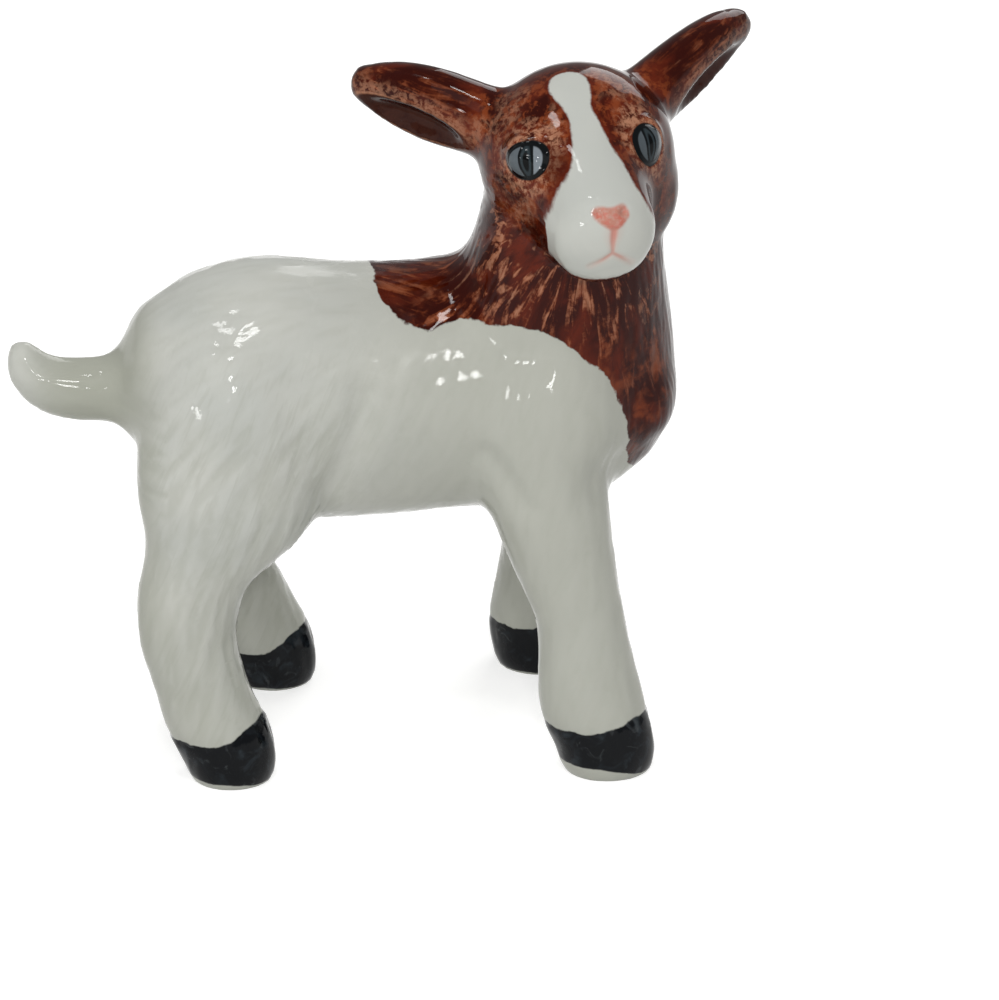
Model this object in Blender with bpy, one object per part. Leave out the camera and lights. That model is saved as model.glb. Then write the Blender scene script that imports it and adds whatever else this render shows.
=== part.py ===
"""A standing goat kid in glazed porcelain, one solid casting, with its head turned to its right.

All sizes here are millimetres. +X is the way the goat faces, +Y its left side and +Z up, and the soles
stand at Z = 0. The finished mesh is scaled to metres.
"""

import math

import bmesh
import bpy
from mathutils import Euler, Matrix, Vector

MM = 0.001
LEFT = Vector((0, 1, 0))

# Trunk: its middle line over the ground, and the distance from the hip to the shoulder
TRUNK_HEIGHT = 22.4
BACK_LENGTH = 18.0
HIP_X = -8.5
SHOULDER_X = HIP_X + BACK_LENGTH

# Sections of the trunk: forward of the hip, above the middle line, half height, half width
TRUNK = [
    (-5.0, 1.5, 4.6, 4.4),
    (-3.2, 1.2, 6.4, 5.8),
    (0.5, 0.5, 7.9, 6.9),
    (6.0, -0.2, 8.0, 6.6),
    (12.0, -0.1, 7.8, 6.4),
    (17.0, 0.1, 7.6, 6.7),
    (21.5, -0.4, 6.8, 6.2),
    (24.8, -0.4, 4.7, 4.7),
]
RUMP_DOME = 2.0
CHEST_DOME = 2.0

# Muscles of the thigh and of the shoulder: forward, out to the side and above the middle line, then radii
THIGH = (-0.2, 4.0, -1.4)
THIGH_RADII = (5.6, 4.0, 7.2)
SHOULDER = (0.9, 4.0, -0.6)
SHOULDER_RADII = (4.6, 3.9, 6.6)

# Tail: back from the hip, above the middle line, half height, half width
TAIL = [
    (3.0, 0.6, 3.2, 2.8),
    (5.2, 0.4, 2.5, 2.4),
    (7.2, 0.4, 2.15, 1.95),
    (9.4, 0.45, 2.1, 1.85),
    (11.2, 0.9, 1.9, 1.7),
    (12.4, 2.1, 1.45, 1.4),
    (12.6, 3.2, 1.05, 1.1),
]
TAIL_ROOT_DOME = 1.5
TAIL_DOME = 0.9

# Distance between the middles of the two hooves of a pair
HIND_STANCE = 13.2
FORE_STANCE = 14.8

# Height of each leg's top inside the trunk, above the middle line, and how far out it sits. It reaches the
# hooves' stance at the given share of the way down
HIP_RISE = -1.0
HIP_SPREAD = 4.0
SHOULDER_RISE = -1.0
SHOULDER_SPREAD = 4.3
SPREAD_END = 0.87

# Hoof middles, forward of the hip or of the shoulder
RIGHT_HIND_HOOF = -0.8
LEFT_HIND_HOOF = 2.5
RIGHT_FORE_HOOF = 3.9
LEFT_FORE_HOOF = 1.2

# Sections of each leg: share of the way down, forward of the hip or shoulder, half length, half width
RIGHT_HIND_LEG = [
    (0.0, -0.2, 5.7, 3.7),
    (0.10, -0.4, 5.8, 3.7),
    (0.20, -1.0, 5.6, 3.6),
    (0.29, -1.75, 4.6, 3.3),
    (0.38, -2.5, 3.45, 3.0),
    (0.47, -3.1, 3.3, 2.8),
    (0.53, -3.25, 3.2, 2.8),
    (0.60, -3.2, 3.05, 2.7),
    (0.68, -2.8, 2.9, 2.6),
    (0.76, -2.3, 2.95, 2.6),
    (0.84, -1.75, 3.0, 2.7),
]
LEFT_HIND_LEG = [
    (0.0, -0.2, 5.7, 3.7),
    (0.10, -0.3, 5.8, 3.7),
    (0.22, -0.3, 5.0, 3.5),
    (0.38, -1.2, 3.7, 3.0),
    (0.50, -1.5, 3.3, 2.8),
    (0.62, -0.8, 3.05, 2.7),
    (0.69, 0.15, 3.0, 2.6),
    (0.76, 0.9, 2.95, 2.6),
    (0.84, 1.6, 2.95, 2.7),
]
RIGHT_FORE_LEG = [
    (0.0, 0.2, 4.8, 3.4),
    (0.18, 0.45, 3.9, 3.2),
    (0.325, 1.1, 3.4, 3.0),
    (0.405, 1.5, 3.15, 2.8),
    (0.50, 2.1, 2.85, 2.7),
    (0.58, 2.45, 2.8, 2.6),
    (0.66, 2.6, 2.95, 2.7),
    (0.74, 2.75, 3.2, 2.8),
    (0.82, 3.05, 3.25, 2.8),
]
LEFT_FORE_LEG = [
    (0.0, 0.2, 4.8, 3.4),
    (0.18, 0.6, 3.9, 3.2),
    (0.325, 1.2, 3.3, 3.0),
    (0.45, 1.5, 3.0, 2.8),
    (0.58, 1.5, 2.85, 2.7),
    (0.70, 1.3, 2.9, 2.7),
    (0.82, 0.95, 3.0, 2.8),
]

# Hooves: widest at the given share of their height, narrower at the sole and set back at the top
HOOF_HEIGHT = 2.6
HOOF_WIDEST = 0.45
HOOF_SOLE_SHARE = 0.93
HOOF_TOP_SETBACK = 0.25
HOOF_TOP_NARROWING = 0.1
LEG_TOP_DOME = 1.5
LEG_END_DOME = 1.0
HIND_HOOF_HALF_LENGTH = 2.95
FORE_HOOF_HALF_LENGTH = 3.15
HOOF_HALF_WIDTH = 2.8

# Neck: forward of the shoulder, above the trunk's middle line, to the right, half depth, half width
NECK = [
    (1.0, 0.0, 0.0, 7.6, 6.0),
    (1.4, 3.5, 0.4, 7.2, 6.1),
    (1.7, 6.5, 1.0, 6.5, 5.9),
    (2.0, 9.5, 1.6, 5.8, 5.5),
    (2.1, 13.0, 1.7, 5.2, 5.2),
]
NECK_DOME = 2.0

# Withers, a low saddle behind the neck: forward of the shoulder and above the middle line, then radii
WITHERS = (-4.5, 4.6)
WITHERS_RADII = (6.0, 4.2, 3.4)

# Head: middle of the skull from the top of the neck line, then how it is turned
HEAD_FORWARD = 2.3
HEAD_RISE = 15.2
HEAD_RIGHT = 2.0
HEAD_TURN = 81.0
HEAD_TILT = 2.0
SKULL = (5.4, 5.9, 5.7)
JAW = (5.0, 5.8, 5.2)
JAW_FORWARD = -0.1
JAW_DROP = 1.6

# Muzzle, in the head's own directions: forward, above the skull's middle, half height, half width
MUZZLE = [
    (0.6, -0.5, 5.5, 5.3),
    (2.8, -0.9, 4.9, 4.6),
    (4.9, -1.5, 4.1, 3.9),
    (6.8, -2.1, 3.5, 3.6),
]
MUZZLE_ROOT_DOME = 1.0
MUZZLE_DOME = 2.2

# Ears: sections along the ear: share of its length, half width, half thickness
EAR = [
    (0.0, 2.5, 2.1),
    (0.22, 2.65, 1.9),
    (0.48, 2.8, 1.7),
    (0.74, 2.3, 1.45),
    (0.92, 1.4, 1.1),
]
EAR_ROOT_DOME = 1.0
EAR_DOME = 1.0
EAR_ROOT = (-1.4, 3.6, 2.0)
# Each ear: length, sweep back, lift and how far its opening faces down
RIGHT_EAR = (10.2, 34.0, 3.5, 24.0)
LEFT_EAR = (10.5, 31.0, 20.5, 24.0)
# Hollow of the ear, an egg-shaped scoop: share of the length, how far in front, below the middle, then radii
SCOOP = (0.58, 2.2, 0.7)
SCOOP_RADII = (4.2, 1.75, 1.8)

# Eyes
EYE_RADIUS = 1.35
EYE_FORWARD = 3.05
EYE_SIDE = 3.45
EYE_RISE = 2.0

# Mesh making: points round the large and the small shapes, grain of each blend in millimetres, rounds of
# softening, and the triangles kept
BODY_SEGMENTS = 36
LIMB_SEGMENTS = 28
DOME_ANGLES = (20, 40, 60, 80)
BODY_GRAIN = 0.5
BODY_SOFTENING = 16
HEAD_GRAIN = 0.35
HEAD_SOFTENING = 8
GRAIN = 0.35
SOFTENING = 6
KEPT_TRIANGLES = 9800


def smooth_stations(stations, steps=5):
    """More stations, on a smooth curve through the given ones."""
    ends = [stations[0]] + stations + [stations[-1]]
    made = []
    for a, b, c, d in zip(ends, ends[1:], ends[2:], ends[3:]):
        for step in range(steps):
            t = step / steps
            made.append(tuple(
                0.5 * (2 * q + (r - p) * t + (2 * p - 5 * q + 4 * r - s) * t ** 2
                       + (3 * q - p - 3 * r + s) * t ** 3)
                for p, q, r, s in zip(a, b, c, d)))
    return made + [stations[-1]]


def add_ring(bm, middle, along, side, depth, width, segments):
    """One closed oval ring of the skin."""
    side = (side - along * side.dot(along)).normalized()
    front = side.cross(along).normalized()
    ring = bmesh.ops.create_circle(bm, segments=segments, radius=1.0)["verts"]
    for v in ring:
        v.co = middle + side * (v.co.x * width) + front * (v.co.y * depth)
    members = set(ring)
    return list({e for v in ring for e in v.link_edges if e.other_vert(v) in members})


def add_loft(bm, stations, side, dome_start, dome_end, segments=LIMB_SEGMENTS):
    """A closed skin through stations of (x, y, z, half depth, half width)."""
    rings = smooth_stations(stations)
    middles = [Vector(r[:3]) for r in rings]
    ways = [(b - a).normalized() for a, b in zip(middles, middles[1:])]
    ways = [ways[0]] + [(p + q).normalized() for p, q in zip(ways, ways[1:])] + [ways[-1]]
    full = []
    for angle in reversed(DOME_ANGLES):
        a = math.radians(angle)
        full.append((middles[0] - ways[0] * dome_start * math.sin(a), ways[0], math.cos(a), rings[0]))
    full += [(m, w, 1.0, r) for m, w, r in zip(middles, ways, rings)]
    for angle in DOME_ANGLES:
        a = math.radians(angle)
        full.append((middles[-1] + ways[-1] * dome_end * math.sin(a), ways[-1], math.cos(a), rings[-1]))
    before = None
    for number, (middle, way, share, ring) in enumerate(full):
        edges = add_ring(bm, middle, way, side, ring[3] * share, ring[4] * share, segments)
        if number in (0, len(full) - 1):
            bmesh.ops.contextual_create(bm, geom=edges)
        if before:
            bmesh.ops.bridge_loops(bm, edges=before + edges)
        before = edges


def add_ball(bm, middle, radii, turn=Matrix()):
    """An ellipsoid with its axes turned by a matrix."""
    place = Matrix.Translation(middle) @ turn @ Matrix.Diagonal((*radii, 1.0))
    bmesh.ops.create_uvsphere(bm, u_segments=32, v_segments=20, radius=1.0, matrix=place)


def add_trunk(bm):
    """The barrel of the body, from the rump to the chest, with its muscles and the withers."""
    stations = [(HIP_X + x, 0, TRUNK_HEIGHT + z, height, width) for x, z, height, width in TRUNK]
    add_loft(bm, stations, LEFT, RUMP_DOME, CHEST_DOME, BODY_SEGMENTS)
    for hand in (-1, 1):
        thigh = Vector((HIP_X + THIGH[0], hand * THIGH[1], TRUNK_HEIGHT + THIGH[2]))
        add_ball(bm, thigh, THIGH_RADII)
        shoulder = Vector((SHOULDER_X + SHOULDER[0], hand * SHOULDER[1], TRUNK_HEIGHT + SHOULDER[2]))
        add_ball(bm, shoulder, SHOULDER_RADII)
    withers = Vector((SHOULDER_X + WITHERS[0], 0, TRUNK_HEIGHT + WITHERS[1]))
    add_ball(bm, withers, WITHERS_RADII)


def add_tail(bm):
    """The short upturned tail."""
    stations = [(HIP_X - x, 0, TRUNK_HEIGHT + z, height, width) for x, z, height, width in TAIL]
    add_loft(bm, stations, LEFT, TAIL_ROOT_DOME, TAIL_DOME)


def add_leg(bm, sections, joint_x, rise, spread, stance, hoof_x, hoof_half_length, outward):
    """One leg from inside the trunk to its hoof. It runs on below the ground, where it is cut off level."""
    top = TRUNK_HEIGHT + rise
    stations = []
    for down, forward, length, width in sections:
        out = spread + (stance / 2 - spread) * min(1.0, down / SPREAD_END)
        stations.append((joint_x + forward, outward * out, top * (1 - down), length, width))
    out = outward * stance / 2
    hoof = joint_x + hoof_x
    top_half_length = hoof_half_length - HOOF_TOP_NARROWING
    sole = (hoof_half_length * HOOF_SOLE_SHARE, HOOF_HALF_WIDTH * HOOF_SOLE_SHARE)
    stations.append((hoof - HOOF_TOP_SETBACK, out, HOOF_HEIGHT, top_half_length, HOOF_HALF_WIDTH))
    stations.append((hoof, out, HOOF_HEIGHT * HOOF_WIDEST, hoof_half_length, HOOF_HALF_WIDTH))
    stations.append((hoof, out, 0.0, *sole))
    add_loft(bm, stations, LEFT, LEG_TOP_DOME, LEG_END_DOME)


def add_legs(bm):
    """The four legs, each with its own bend."""
    hind = (HIP_X, HIP_RISE, HIP_SPREAD, HIND_STANCE)
    fore = (SHOULDER_X, SHOULDER_RISE, SHOULDER_SPREAD, FORE_STANCE)
    add_leg(bm, RIGHT_HIND_LEG, *hind, RIGHT_HIND_HOOF, HIND_HOOF_HALF_LENGTH, -1)
    add_leg(bm, LEFT_HIND_LEG, *hind, LEFT_HIND_HOOF, HIND_HOOF_HALF_LENGTH, 1)
    add_leg(bm, RIGHT_FORE_LEG, *fore, RIGHT_FORE_HOOF, FORE_HOOF_HALF_LENGTH, -1)
    add_leg(bm, LEFT_FORE_LEG, *fore, LEFT_FORE_HOOF, FORE_HOOF_HALF_LENGTH, 1)


def add_neck(bm):
    """The neck, from the shoulders up into the skull."""
    stations = [(SHOULDER_X + x, -y, TRUNK_HEIGHT + z, depth, width) for x, z, y, depth, width in NECK]
    add_loft(bm, stations, LEFT, NECK_DOME, NECK_DOME, BODY_SEGMENTS)


def head_place():
    """Turns the head's own directions (forward, left, up) into the goat's."""
    middle = Vector((SHOULDER_X + HEAD_FORWARD, -HEAD_RIGHT, TRUNK_HEIGHT + HEAD_RISE))
    turn = Euler((math.radians(-HEAD_TILT), 0, math.radians(-HEAD_TURN)), "XYZ")
    return Matrix.Translation(middle) @ turn.to_matrix().to_4x4()


def add_head(bm):
    """Skull, cheeks, muzzle, the swelling of each eye and the ears."""
    place = head_place()
    add_ball(bm, place.translation, SKULL, place.to_3x3().to_4x4())
    add_ball(bm, place @ Vector((JAW_FORWARD, 0, -JAW_DROP)), JAW, place.to_3x3().to_4x4())
    stations = [(*(place @ Vector((x, 0, z))), height, width) for x, z, height, width in MUZZLE]
    add_loft(bm, stations, place.to_3x3() @ LEFT, MUZZLE_ROOT_DOME, MUZZLE_DOME)
    for hand in (-1, 1):
        eye = place @ Vector((EYE_FORWARD, hand * EYE_SIDE, EYE_RISE))
        add_ball(bm, eye, (EYE_RADIUS,) * 3)
        add_ear(bm, place, hand, LEFT_EAR if hand > 0 else RIGHT_EAR)


def ear_frame(place, hand, length, sweep, lift, opening):
    """An ear's root, the way it runs, the side towards its upper edge and the side it opens to."""
    back, up = math.radians(sweep), math.radians(lift)
    turn = place.to_3x3()
    way = Vector((-math.sin(back) * math.cos(up), hand * math.cos(back) * math.cos(up), math.sin(up)))
    upper = Matrix.Rotation(math.radians(opening), 3, "Y") @ Vector((0, 0, 1))
    upper = (upper - way * upper.dot(way)).normalized()
    root = place @ Vector((EAR_ROOT[0], hand * EAR_ROOT[1], EAR_ROOT[2]))
    return root, turn @ way, turn @ upper, turn @ way.cross(upper) * hand


def add_ear(bm, place, hand, ear):
    """A leaf-shaped ear, still solid."""
    root, way, upper, _ = ear_frame(place, hand, *ear)
    stations = [(*(root + way * ear[0] * share), thick, width) for share, width, thick in EAR]
    add_loft(bm, stations, upper, EAR_ROOT_DOME, EAR_DOME)


def add_scoops(bm):
    """What is taken out of the two ears."""
    place = head_place()
    for hand, ear in ((-1, RIGHT_EAR), (1, LEFT_EAR)):
        root, way, upper, opening = ear_frame(place, hand, *ear)
        middle = root + way * ear[0] * SCOOP[0] + opening * SCOOP[1] - upper * SCOOP[2]
        turn = Matrix((way, opening, upper)).transposed().to_4x4()
        add_ball(bm, middle, SCOOP_RADII, turn)


def temporary(bm, name):
    """An object that holds the shapes of a bmesh."""
    bmesh.ops.recalc_face_normals(bm, faces=bm.faces[:])
    mesh = bpy.data.meshes.new(name)
    bm.to_mesh(mesh)
    bm.free()
    shape = bpy.data.objects.new(name, mesh)
    bpy.context.scene.collection.objects.link(shape)
    return shape


def blended(bm, grain, rounds, cutter=None, kept=None):
    """The shapes in a bmesh as one softened skin, less a cutter and cut down to some triangles if asked."""
    blend = temporary(bm, "blend")
    skin = blend.modifiers.new("one_skin", "REMESH")
    skin.mode = "VOXEL"
    skin.voxel_size = grain
    if cutter:
        scoop = temporary(cutter, "scoop")
        cut = blend.modifiers.new("hollows", "BOOLEAN")
        cut.operation = "DIFFERENCE"
        cut.solver = "EXACT"
        cut.object = scoop
    smooth = blend.modifiers.new("softening", "SMOOTH")
    smooth.factor = 0.5
    smooth.iterations = rounds
    graph = bpy.context.evaluated_depsgraph_get()
    if kept:
        fewer = blend.modifiers.new("fewer_faces", "DECIMATE")
        fewer.ratio = min(1.0, kept / (2 * len(blend.evaluated_get(graph).data.polygons)))
        graph = bpy.context.evaluated_depsgraph_get()
    made = bpy.data.meshes.new_from_object(blend.evaluated_get(graph))
    bpy.data.objects.remove(blend)
    if cutter:
        bpy.data.objects.remove(scoop)
    return made


def group(*builders):
    """A bmesh with the shapes that the builders add."""
    bm = bmesh.new()
    for build in builders:
        build(bm)
    return bm


def level_soles(bm):
    """Cuts the hooves off level with the ground."""
    cut = bmesh.ops.bisect_plane(
        bm, geom=bm.verts[:] + bm.edges[:] + bm.faces[:], plane_co=(0, 0, 0), plane_no=(0, 0, 1),
        clear_inner=True)["geom_cut"]
    bmesh.ops.holes_fill(bm, edges=[e for e in cut if isinstance(e, bmesh.types.BMEdge)])
    bmesh.ops.triangulate(bm, faces=bm.faces[:])


def glaze():
    """The milky white glaze of the body."""
    material = bpy.data.materials.new("glazed_porcelain")
    material.use_nodes = True
    shader = material.node_tree.nodes["Principled BSDF"]
    shader.inputs["Base Color"].default_value = (0.52, 0.52, 0.47, 1)
    shader.inputs["Roughness"].default_value = 0.12
    shader.inputs["Metallic"].default_value = 0.0
    return material


def goat_skin():
    """The whole skin in millimetres, standing at the origin of the trunk's own measures."""
    body = blended(group(add_trunk, add_tail, add_legs, add_neck), BODY_GRAIN, BODY_SOFTENING)
    head = blended(group(add_head), HEAD_GRAIN, HEAD_SOFTENING, cutter=group(add_scoops))
    both = bmesh.new()
    both.from_mesh(body)
    both.from_mesh(head)
    skin = bmesh.new()
    skin.from_mesh(blended(both, GRAIN, SOFTENING, kept=KEPT_TRIANGLES))
    level_soles(skin)
    return skin


def footprint_middle(bm):
    """The middle of the skin's box on the ground."""
    low = [min(v.co[i] for v in bm.verts) for i in range(2)]
    high = [max(v.co[i] for v in bm.verts) for i in range(2)]
    return Vector(((low[0] + high[0]) / 2, (low[1] + high[1]) / 2, 0))


def main():
    for obj in list(bpy.data.objects):
        bpy.data.objects.remove(obj)
    skin = goat_skin()
    bmesh.ops.translate(skin, vec=-footprint_middle(skin), verts=skin.verts)
    bmesh.ops.scale(skin, vec=(MM, MM, MM), verts=skin.verts)
    mesh = bpy.data.meshes.new("goat")
    skin.to_mesh(mesh)
    skin.free()
    mesh.shade_smooth()
    mesh.materials.append(glaze())
    goat = bpy.data.objects.new("goat", mesh)
    bpy.context.scene.collection.objects.link(goat)


main()
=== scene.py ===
import math
import random

import bmesh
import bpy
import numpy as np
from mathutils import Euler, Matrix, Vector, kdtree


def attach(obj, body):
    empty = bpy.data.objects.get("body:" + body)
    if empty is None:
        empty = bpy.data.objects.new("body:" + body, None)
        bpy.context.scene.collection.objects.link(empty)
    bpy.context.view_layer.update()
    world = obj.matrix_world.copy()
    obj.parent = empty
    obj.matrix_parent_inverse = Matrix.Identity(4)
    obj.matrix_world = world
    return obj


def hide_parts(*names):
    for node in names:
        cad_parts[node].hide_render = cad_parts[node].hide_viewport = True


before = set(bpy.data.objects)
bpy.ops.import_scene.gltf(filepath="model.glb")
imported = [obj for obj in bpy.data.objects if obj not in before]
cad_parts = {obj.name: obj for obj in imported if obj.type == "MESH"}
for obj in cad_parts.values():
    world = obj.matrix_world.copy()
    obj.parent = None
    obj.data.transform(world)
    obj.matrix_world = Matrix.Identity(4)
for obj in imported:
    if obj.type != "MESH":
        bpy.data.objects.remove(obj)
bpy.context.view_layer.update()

millimetre = 0.001

# What the goat is made to, in millimetres
body = {
    "middle": (0.565, -0.463),      # middle of the footprint
    "trunkHeight": 22.4,
    "hipX": -8.5,
    "shoulderX": 9.5,
    # forward of the hip, above the middle line, half height, half width
    "trunk": [
        (-5.0, 1.5, 4.6, 4.4), (-3.2, 1.2, 6.4, 5.8), (0.5, 0.5, 7.9, 6.9), (6.0, -0.2, 8.0, 6.6),
        (12.0, -0.1, 7.8, 6.4), (17.0, 0.1, 7.6, 6.7), (21.5, -0.4, 6.8, 6.2), (24.8, -0.4, 4.7, 4.7)],
    "rumpDome": 2.0,
    "chestDome": 2.0,
    "thigh": ((-0.2, 4.0, -1.4), (5.6, 4.0, 7.2)),
    "shoulder": ((0.9, 4.0, -0.6), (4.6, 3.9, 6.6)),
    "withers": ((-4.5, 4.6), (6.0, 4.2, 3.4)),
    # forward of the shoulder, above the middle line, to the right, half depth, half width
    "neck": [
        (1.0, 0.0, 0.0, 7.6, 6.0), (1.4, 3.5, 0.4, 7.2, 6.1), (1.7, 6.5, 1.0, 6.5, 5.9),
        (2.0, 9.5, 1.6, 5.8, 5.5), (2.1, 13.0, 1.7, 5.2, 5.2)],
    "neckDome": 2.0,
}
tail = {
    # back from the hip, above the middle line, half height, half width
    "sections": [
        (3.0, 0.6, 3.2, 2.8), (5.2, 0.4, 2.5, 2.4), (7.2, 0.4, 2.15, 1.95), (9.4, 0.45, 2.1, 1.85),
        (11.2, 0.9, 1.9, 1.7), (12.4, 2.1, 1.45, 1.4), (12.6, 3.2, 1.05, 1.1)],
    "rootDome": 1.5,
    "tipDome": 0.9,
}
legs = {
    "topRise": -1.0,
    "spreadEnd": 0.87,              # share of the way down at which a leg reaches its stance
    "hindSpread": 4.0,
    "foreSpread": 4.3,
    "hindStance": 13.2,
    "foreStance": 14.8,
    # share of the way down, forward of the hip or shoulder, half length, half width
    "rightHind": [
        (0.0, -0.2, 5.7, 3.7), (0.10, -0.4, 5.8, 3.7), (0.20, -1.0, 5.6, 3.6), (0.29, -1.75, 4.6, 3.3),
        (0.38, -2.5, 3.45, 3.0), (0.47, -3.1, 3.3, 2.8), (0.53, -3.25, 3.2, 2.8), (0.60, -3.2, 3.05, 2.7),
        (0.68, -2.8, 2.9, 2.6), (0.76, -2.3, 2.95, 2.6), (0.84, -1.75, 3.0, 2.7)],
    "leftHind": [
        (0.0, -0.2, 5.7, 3.7), (0.10, -0.3, 5.8, 3.7), (0.22, -0.3, 5.0, 3.5), (0.38, -1.2, 3.7, 3.0),
        (0.50, -1.5, 3.3, 2.8), (0.62, -0.8, 3.05, 2.7), (0.69, 0.15, 3.0, 2.6), (0.76, 0.9, 2.95, 2.6),
        (0.84, 1.6, 2.95, 2.7)],
    "rightFore": [
        (0.0, 0.2, 4.8, 3.4), (0.18, 0.45, 3.9, 3.2), (0.325, 1.1, 3.4, 3.0), (0.405, 1.5, 3.15, 2.8),
        (0.50, 2.1, 2.85, 2.7), (0.58, 2.45, 2.8, 2.6), (0.66, 2.6, 2.95, 2.7), (0.74, 2.75, 3.2, 2.8),
        (0.82, 3.05, 3.25, 2.8)],
    "leftFore": [
        (0.0, 0.2, 4.8, 3.4), (0.18, 0.6, 3.9, 3.2), (0.325, 1.2, 3.3, 3.0), (0.45, 1.5, 3.0, 2.8),
        (0.58, 1.5, 2.85, 2.7), (0.70, 1.3, 2.9, 2.7), (0.82, 0.95, 3.0, 2.8)],
    "topDome": 1.5,
    "endDome": 1.0,
}
hooves = {
    # middle forward of the hip or shoulder, half length, height of the black at the heel, its rise to the
    # toe, and the white rim left bare at the sole
    "rightHind": (-0.8, 2.95, 2.95, 1.25, 0.35),
    "leftHind": (2.5, 2.95, 2.6, 1.3, 0.12),
    "rightFore": (3.9, 3.15, 3.3, 0.6, 0.85),
    "leftFore": (1.2, 3.15, 3.3, 0.5, 0.12),
    "halfWidth": 2.8,
    "height": 2.6,
    "widest": 0.45,
    "soleShare": 0.93,
    "topSetback": 0.25,
    "topNarrowing": 0.1,
    "cleftDepth": 0.32,
    "cleftHalfWidth": 0.42,
    "crownDepth": 0.06,             # groove along the upper edge of the black
    "crownHalfWidth": 0.22,
    "reach": (5.5, 4.2, 8.0),       # from the middle of the sole: forward, aside and up
}
head = {
    "forward": 2.3, "rise": 15.2, "right": 2.0,   # skull middle from the shoulder and the middle line
    "turn": 81.0,
    "tilt": 2.0,
    "skull": ((0.0, 0.15, 0.0), (5.4, 5.9, 5.7)),
    "jaw": ((-0.1, 0.85, -1.95), (5.0, 5.6, 5.2)),
    # forward, to the left, above the skull's middle, half height, half width
    "muzzle": [
        (0.6, -0.4, -0.5, 5.5, 4.8), (2.8, -0.4, -0.9, 4.9, 3.95), (4.9, -0.05, -1.5, 4.1, 3.45),
        (6.8, 0.07, -2.1, 3.5, 3.25)],
    "muzzleRootDome": 1.0,
    "muzzleDome": 2.2,
}
ears = {
    # share of the length, half width, half thickness
    "sections": [(0.0, 2.3, 2.0), (0.22, 2.5, 1.9), (0.48, 2.75, 1.7), (0.74, 2.3, 1.45), (0.92, 1.4, 1.1)],
    "rootDome": 1.0,
    "tipDome": 1.0,
    # root forward, aside and up, length, sweep back, lift, opening down
    "right": (-1.4, 3.6, 1.4, 10.2, 34.0, 8.8, 24.0),
    "left": (-1.4, 3.6, 2.0, 10.5, 31.0, 20.5, 24.0),
    "scoop": (0.6, 2.15, 0.6),
    "scoopRadii": (3.9, 1.7, 1.3),
    "scoopToMm": 1.5,                             # from the scoop's own size to about millimetres
}
face = {
    "roll": 6.5,                                  # the face leans over on the skull
    "shift": 0.2,
    "eye": (4.16, 3.71, 2.06),                    # forward, aside, up
    "leftEyeShift": (-0.08, 0.1, -0.3),
    "leftEyeShape": (1.3, 0.89),                  # the left eye is narrower and taller
    "eyeAlong": (0.728, -0.674, 0.133),           # from the outer to the inner corner, left eye
    "eyeUp": (-0.298, -0.015, 0.956),
    "eyeBulge": 1.35,
    "eyeInset": (0.95, 0.3),                      # the eyeball's middle under the skin: back, inwards
    "eyeReach": 2.9,
    "eyeballRise": 0.1,
    "lidOval": (0.1, 1.5, 1.12),                  # shift to the outer corner, half width, half height
    "lidGroove": 0.07,
    "upperLidRise": 0.05,
    "snoutFrom": 6.5,                             # how far forward nose and mouth begin
    "brow": 5.6,                                  # radius over which the blaze bends back on the skull
    # on the sides of the muzzle the white ends sooner, place and steepness: forward, aside, up
    "whiteEnds": ((6.1, 0.8), (3.2, 3.0), (-1.2, 1.8)),
    # edge of the white blaze and muzzle, aside and up over the brow, from the top round by the right cheek
    "blaze": [
        (-0.35, 8.35), (-0.95, 8.15), (-1.34, 7.45), (-1.32, 6.55), (-1.0, 5.6), (-0.78, 4.45), (-1.05, 2.9),
        (-1.57, 1.80), (-2.28, 1.00), (-2.83, -0.05), (-3.22, -1.1), (-3.4, -2.29), (-2.85, -3.62),
        (-1.89, -4.33), (-0.75, -4.65), (0.81, -4.60), (2.25, -4.38), (2.98, -3.35), (3.05, -1.9),
        (2.55, -0.4), (1.96, 0.9), (1.64, 1.86), (1.23, 2.63), (0.92, 4.05), (0.72, 5.3),
        (0.95, 6.5), (0.92, 7.6), (0.38, 8.25)],
    "nose": [
        (-0.98, 0.12), (-0.59, 0.40), (0.15, 0.26), (0.91, 0.32), (1.20, -0.17), (1.00, -0.58),
        (0.21, -1.03), (-0.72, -0.40)],
    "mouth": [
        [(0.18, -0.95), (0.05, -1.77), (0.02, -2.55)],
        [(0.02, -2.55), (-0.56, -2.93), (-1.25, -3.33)],
        [(0.02, -2.55), (0.60, -3.02), (1.25, -3.62)]],
    "chin": [(-0.75, -3.98), (0.05, -3.80), (0.80, -3.92)],
    "nostrils": [(-0.62, 0.02), (0.86, -0.08)],
    "nostrilRadius": 0.27,
    "nostrilDepth": 0.26,
    "mouthDepth": 0.08,
    "mouthHalfWidth": 0.16,
    "chinDepth": 0.035,
    "chinHalfWidth": 0.25,
    "noseRise": 0.12,
}
# Edge of the brown coat on the right side: forward, up
cape = [
    (-0.1, 31.5), (-0.1, 29.9), (0.0, 29.5), (0.43, 28.95), (1.26, 28.33), (2.06, 27.89), (2.88, 27.72),
    (3.6, 27.9), (4.22, 28.17), (4.81, 28.29), (5.96, 28.33), (7.08, 28.41), (8.21, 28.59), (9.36, 28.47),
    (10.41, 27.92), (11.42, 27.18), (12.33, 26.25), (13.1, 25.41), (14.0, 23.88), (14.55, 22.25),
    (14.9, 20.35), (15.1, 18.2), (15.6, 17.2), (16.4, 16.8), (40.0, 16.6), (40.0, 60.0), (-14.0, 60.0),
    (-14.0, 36.0)]
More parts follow.
